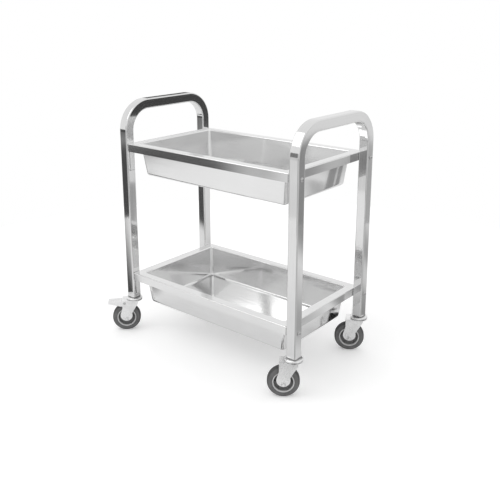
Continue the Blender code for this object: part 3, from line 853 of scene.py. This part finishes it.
def pedal_model():
    """The brake pedal in its place: folded cheeks, a tread with grip ribs, a turned-down tip."""
    half = PEDAL_WIDTH / 2
    inner_half = half - PEDAL_SHEET
    tip = PEDAL_TIP - PEDAL_PIN.x
    under = PEDAL_TOP - PEDAL_SHEET
    side = arc((0, 0), PEDAL_NOSE, 270, 110, 10)
    side += [(0, PEDAL_TOP), (tip - PEDAL_SLOPE, PEDAL_TOP), (tip, PEDAL_TOP - PEDAL_FALL)]
    side += [(tip, PEDAL_TOP - PEDAL_TIP_DEPTH)]
    side += [(PEDAL_CHEEK_BACK, -PEDAL_CHEEK_DROP), (PEDAL_CHEEK_FRONT, -PEDAL_CHEEK_DROP)]
    pedal = extruded_outline("pedal_model", pedal_places(side, -half), (0, 2 * half, 0))
    far = tip - PEDAL_SHEET
    hollow = [(-TUBE, under), (far, under - PEDAL_FALL), (far, -TUBE), (-TUBE, -TUBE)]
    inside = extruded_outline("pedal_hollow", pedal_places(hollow, -inner_half), (0, 2 * inner_half, 0))
    boolean(pedal, inside, "DIFFERENCE")
    for number in range(3):
        x = PEDAL_TIP - (4 + 4 * number) * MM
        z = PEDAL_PIN.z + PEDAL_TOP - (0.9 - 0.22 * number) * MM
        bpy.ops.mesh.primitive_cylinder_add(vertices=16, radius=GRIP_RIB, depth=PEDAL_WIDTH - 8 * MM,
                                            location=(x, 0, z), rotation=(math.pi / 2, 0, 0))
        boolean(pedal, bpy.context.object, "UNION")
    soften(pedal, 0.4 * MM)
    return pedal


def pedal_places(outline, y):
    """A pedal outline about its pin, put in its place on one side."""
    return [(PEDAL_PIN.x + x, y, PEDAL_PIN.z + z) for x, z in outline]


def pin_model():
    """The pedal's rivet about Z, with domed ends."""
    side = [(0, HEAD_SEAT + 1.5 * MM), (2.2 * MM, HEAD_SEAT + 1.4 * MM), (3.8 * MM, HEAD_SEAT + 0.9 * MM)]
    side += [(RIVET_HEAD, HEAD_SEAT), (RIVET, HEAD_SEAT)]
    pin = turned("pin_model", mirrored(side), 32)
    shade(pin, 35)
    return pin


def joint_place(name):
    """A joint's position in the frame."""
    return Vector(next(joint["pos_m"] for joint in frame["joints"] if joint["name"] == name))


def caster_places(corner):
    """The caster's own matrix, and one more for what lies along its axle."""
    swivel = joint_place(f"swivel_{corner}")
    axle = joint_place(f"roll_{corner}")
    heading = math.atan2(axle.y - swivel.y, axle.x - swivel.x)
    stand = Matrix.Translation((swivel.x, swivel.y, 0)) @ Matrix.Rotation(heading, 4, "Z")
    wheel = stand @ Matrix.Translation((CASTER_TRAIL, 0, WHEEL_RADIUS)) @ lie_across()
    return stand, wheel


def lie_across():
    """Turns what was made about Z to lie along the axle."""
    return Matrix.Rotation(math.pi / 2, 4, "X")


def place_casters():
    fork, tyre, centre, cup = fork_model(), tyre_model(), centre_model(), cup_model()
    race, axle, nut, pedal = ball_race_model(), axle_model(), axle_nut_model(), pedal_model()
    pin = pin_model()
    for corner in CORNERS:
        stand, wheel = caster_places(corner)
        body, rolling, treadle = f"caster_{corner}", f"wheel_{corner}", f"pedal_{corner}"
        seat = Matrix.Translation((0, 0, -HEAD_SEAT))
        nut_place = wheel @ seat @ Matrix.Rotation(math.pi, 4, "X")
        pin_place = stand @ Matrix.Translation(PEDAL_PIN) @ lie_across()
        pieces = [
            (cup, "swivel_cup", stand, ZINC, "zinc_plate", "chassis", f"swivel_cup_{corner}"),
            (race, "ball_race", stand, RACE, "steel", body, f"ball_ring_{corner}"),
            (fork, "fork", stand, ZINC, "zinc_plate", body, f"fork_{corner}"),
            (axle, "axle_bolt", wheel, ZINC, "fasteners", body, f"axle_{corner}"),
            (nut, "axle_nut", nut_place, ZINC, "fasteners", body, f"axle_nut_{corner}"),
            (tyre, "tyre", wheel, RUBBER, "grey_rubber", rolling, f"tyre_{corner}"),
            (centre, "wheel_centre", wheel, WHEEL_CENTRE, "wheel_centre", rolling, f"wheel_{corner}"),
        ]
        if corner in BRAKED:
            pieces += [
                (pedal, "brake_pedal", stand, ZINC, "zinc_plate", treadle, f"pedal_{corner}"),
                (pin, "pedal_rivet", pin_place, FASTENER, "fasteners", body, f"pedal_pin_{corner}"),
            ]
        for model, name, place, finish, slot, carrier, node in pieces:
            dress(copied(model, f"{corner}_{name}", place), finish, slot, carrier, node)
    for model in (fork, tyre, centre, cup, race, axle, nut, pedal, pin):
        bpy.data.objects.remove(model, do_unlink=True)


place_casters()


# ---- what stays from the frame ------------------------------------------------------------------

def dress_nodes():
    """The stems and the nuts keep their shape and take a finish."""
    for name, node in frame["nodes"].items():
        if node.hide_render:
            continue
        node.data.materials.clear()
        node.data.materials.append(RACE if name.startswith("stem_") and "nut" not in name else FASTENER)


dress_nodes()


# ---- studio -------------------------------------------------------------------------------------

ROOM_LIGHT = 0.92
FLOOR_WHITE = 0.9
FLOOR_LIFT = 0.25               # what the eye sees added to the floor's own light
FLOOR_RADIUS = 1.7
NEAR_FLOOR = [(0.50, 0.0), (0.62, 1.0)]     # metres from the cart: the floor's patches start here

# Bearings in degrees from +X towards +Y, and the grey that metal finds there.
FLOOR_ROOM = [(-180, 0.9), (-154, 0.9), (-152, 0.08), (-144, 0.08), (-142.5, 0.9), (-62, 0.9), (-50, 0.4),
              (-28, 0.45), (-15, 0.9), (8, 0.45), (22, 0.5), (36, 0.9), (40, 0.35), (45, 0.45),
              (47, 0.8), (49, 0.8), (51, 0.3), (54, 0.9), (76, 0.9), (98, 0.4), (116, 0.5), (134, 0.9),
              (180, 0.9)]
LOW_ROOM = [(-180, 1.0), (-154, 0.6), (-147, 0.08), (-131.5, 0.10), (-130, 0.7), (-129, 0.7), (-128, 0.45),
            (-127, 0.9), (-118, 0.8), (-104, 0.9), (-80, 0.35), (-60, 0.3), (-40, 0.9), (-8, 0.8), (10, 0.25),
            (24, 0.3), (38, 0.9), (48, 0.8), (53, 0.3), (57, 0.35), (57.6, 0.75), (58.6, 0.75), (59.2, 0.3),
            (64, 0.9), (84, 0.9), (104, 0.3), (124, 0.35), (150, 0.9), (180, 1.0)]
HANDLE_ROOM = [(-180, 1.0), (-154, 0.7), (-144, 0.08), (-134, 0.10), (-131, 0.7), (-129, 0.9), (-120, 0.6),
               (-104, 0.9), (-76, 0.3), (-56, 0.4), (-30, 0.9), (0, 0.5), (34, 0.9), (38, 0.06), (50, 0.08),
               (53, 0.9), (80, 0.9), (100, 0.4), (124, 0.5), (150, 0.9), (180, 1.0)]
HORIZON_ROOM = [(-180, 1.0), (-129.2, 1.0), (-128, 0.22), (-118, 0.30), (-106, 1.0), (-60, 0.5), (-20, 1.0),
                (20, 0.6), (60, 1.0), (90, 0.6), (110, 1.0), (132, 1.0), (135, 0.08), (148, 0.12), (158, 1.0),
                (180, 1.0)]

# Each band from and to degrees above the horizon, and how softly it ends.
ROOM_BANDS = [(-20, -10.5, 0.8, LOW_ROOM), (-10.5, -3.5, 0.5, HANDLE_ROOM), (-3, 8.4, 0.5, HORIZON_ROOM)]

CAMERA_FROM_CART = Vector((1.3474, -1.6033, 1.0753))
CAMERA_PITCH = 15.048           # degrees below the horizon
CAMERA_BEARING = 39.411         # degrees to the left of +Y
CAMERA_LENS = 49.535
CAMERA_SHIFT = -0.12


def bearing_value(nodes, links, vector):
    """A vector's horizontal bearing, 0 to 1 for -180 to 180 degrees from +X, and its height."""
    parts = nodes.new("ShaderNodeSeparateXYZ")
    links.new(vector, parts.inputs[0])
    turn = nodes.new("ShaderNodeMath")
    turn.operation = "ARCTAN2"
    links.new(parts.outputs["Y"], turn.inputs[0])
    links.new(parts.outputs["X"], turn.inputs[1])
    bearing = nodes.new("ShaderNodeMapRange")
    bearing.inputs["From Min"].default_value = -math.pi
    bearing.inputs["From Max"].default_value = math.pi
    links.new(turn.outputs[0], bearing.inputs["Value"])
    return bearing.outputs[0], parts.outputs["Z"]


def bearings(stops):
    """Stops at bearings in degrees, as stops from 0 to 1."""
    return [((degrees + 180) / 360, value) for degrees, value in stops]


def grey_mix(nodes, links, factor, first, second):
    """Between two greys, each a number or a node's output."""
    node = nodes.new("ShaderNodeMix")
    node.data_type = "RGBA"
    links.new(factor, node.inputs["Factor"])
    for socket, value in ((node.inputs["A"], first), (node.inputs["B"], second)):
        if isinstance(value, float):
            socket.default_value = (value, value, value, 1)
        else:
            links.new(value, socket)
    return node.outputs["Result"]


def studio_floor():
    """A round white floor that keeps the shadow; only reflections find it darker in places."""
    deselect_all()
    bpy.ops.mesh.primitive_circle_add(vertices=96, radius=FLOOR_RADIUS, fill_type="NGON",
                                      location=(CART_X, CART_Y, 0))
    floor = bpy.context.object
    floor.name = "studio_floor"
    material = bpy.data.materials.new("white_floor")
    material.use_nodes = True
    nodes, links = material.node_tree.nodes, material.node_tree.links
    shader = nodes["Principled BSDF"]
    shader.inputs["Roughness"].default_value = 0.9
    shader.inputs["Specular IOR Level"].default_value = 0.0

    place = nodes.new("ShaderNodeTexCoord").outputs["Object"]
    bearing, height = bearing_value(nodes, links, place)
    length = nodes.new("ShaderNodeVectorMath")
    length.operation = "LENGTH"
    links.new(place, length.inputs[0])
    near = grey_ramp(nodes, links, length.outputs["Value"], NEAR_FLOOR)
    patches = grey_ramp(nodes, links, bearing, bearings(FLOOR_ROOM))
    room = grey_mix(nodes, links, near, FLOOR_WHITE, patches)
    path = nodes.new("ShaderNodeLightPath")
    colour = grey_mix(nodes, links, path.outputs["Is Glossy Ray"], FLOOR_WHITE, room)
    links.new(colour, shader.inputs["Base Color"])

    glow = nodes.new("ShaderNodeEmission")
    lift = nodes.new("ShaderNodeMath")
    lift.operation = "MULTIPLY"
    lift.inputs[1].default_value = FLOOR_LIFT
    both = nodes.new("ShaderNodeAddShader")
    links.new(path.outputs["Is Camera Ray"], lift.inputs[0])
    links.new(lift.outputs[0], glow.inputs["Strength"])
    links.new(shader.outputs[0], both.inputs[0])
    links.new(glow.outputs[0], both.inputs[1])
    links.new(both.outputs[0], nodes["Material Output"].inputs["Surface"])
    floor.data.materials.append(material)


def studio_world():
    """White all round, with the greys of a room near the horizon for bright metal to show."""
    world = bpy.data.worlds.new("studio")
    bpy.context.scene.world = world
    world.use_nodes = True
    nodes, links = world.node_tree.nodes, world.node_tree.links
    direction = nodes.new("ShaderNodeTexCoord").outputs["Generated"]
    bearing, rise = bearing_value(nodes, links, direction)
    height = nodes.new("ShaderNodeMapRange")
    height.inputs["From Min"].default_value = -1
    links.new(rise, height.inputs["Value"])

    colour = 1.0
    for low, high, blend, stops in ROOM_BANDS:
        edges = [(low - blend, 0.0), (low + blend, 1.0), (high - blend, 1.0), (high + blend, 0.0)]
        edges = [((math.sin(math.radians(degrees)) + 1) / 2, value) for degrees, value in edges]
        band = grey_ramp(nodes, links, height.outputs[0], edges)
        greys = grey_ramp(nodes, links, bearing, bearings(stops))
        colour = grey_mix(nodes, links, band, colour, greys)

    path = nodes.new("ShaderNodeLightPath")
    white = nodes.new("ShaderNodeBackground")
    white.inputs["Color"].default_value = (1, 1, 1, 1)
    room = nodes.new("ShaderNodeBackground")
    room.inputs["Strength"].default_value = ROOM_LIGHT
    links.new(colour, room.inputs["Color"])
    choose = nodes.new("ShaderNodeMixShader")
    links.new(path.outputs["Is Camera Ray"], choose.inputs["Fac"])
    links.new(room.outputs[0], choose.inputs[1])
    links.new(white.outputs[0], choose.inputs[2])
    links.new(choose.outputs[0], nodes["World Output"].inputs["Surface"])


def softbox(name, place, aim, size, power):
    """A square lamp that faces its aim."""
    light = bpy.data.lights.new(name, "AREA")
    light.shape = "SQUARE"
    light.size = size
    light.energy = power
    lamp = bpy.data.objects.new(name, light)
    bpy.context.scene.collection.objects.link(lamp)
    lamp.location = place
    lamp.rotation_euler = (Vector(aim) - Vector(place)).to_track_quat("-Z", "Y").to_euler()


def studio_camera():
    """The photograph's place: from the front right, a little above."""
    data = bpy.data.cameras.new("camera")
    data.sensor_width = 36
    data.lens = CAMERA_LENS
    data.shift_y = CAMERA_SHIFT
    camera = bpy.data.objects.new("camera", data)
    bpy.context.scene.collection.objects.link(camera)
    camera.location = Vector((CART_X, CART_Y, 0)) + CAMERA_FROM_CART
    camera.rotation_euler = (math.radians(90 - CAMERA_PITCH), 0, math.radians(CAMERA_BEARING))
    bpy.context.scene.camera = camera


studio_floor()
studio_world()
softbox("key", (CART_X - 1.0, CART_Y - 1.6, 2.6), (CART_X, CART_Y, 0.4), 1.8, 14)
studio_camera()

bpy.context.scene.view_settings.view_transform = "Standard"
